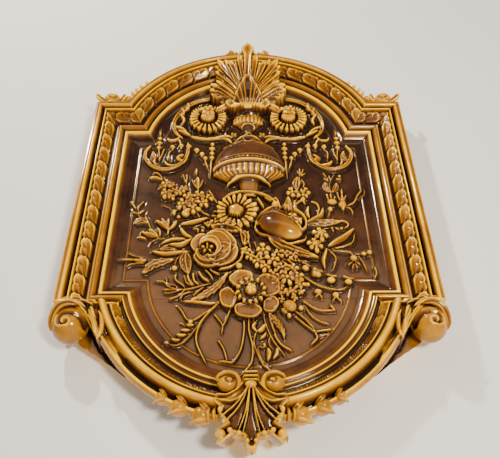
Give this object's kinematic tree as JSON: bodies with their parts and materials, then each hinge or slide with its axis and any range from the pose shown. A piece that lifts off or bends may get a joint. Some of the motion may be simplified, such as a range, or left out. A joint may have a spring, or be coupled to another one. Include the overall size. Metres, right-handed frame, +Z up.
{
  "type": "decorative wall tile",
  "caption": "Arched ceramic wall tile in moulded relief: framed panel with urn, scrolls and flower bouquet, palmette on top, ball scrolls at the corners and a shell below.",
  "frame": {"origin": "point on the flat back pad, on the vertical midline, where the wall touches the tile; the face's lowest point is 230 mm below it", "axes": "+Z up, as the tile hangs; +X to the right for someone facing the tile; +Y into the wall, so the face looks along -Y"},
  "size_m": [0.3464, 0.0447, 0.485],
  "materials": {
    "glaze": "gloss"
  },
  "bodies": {
    "root": {"tile": "glaze"}
  },
  "joints": []
}
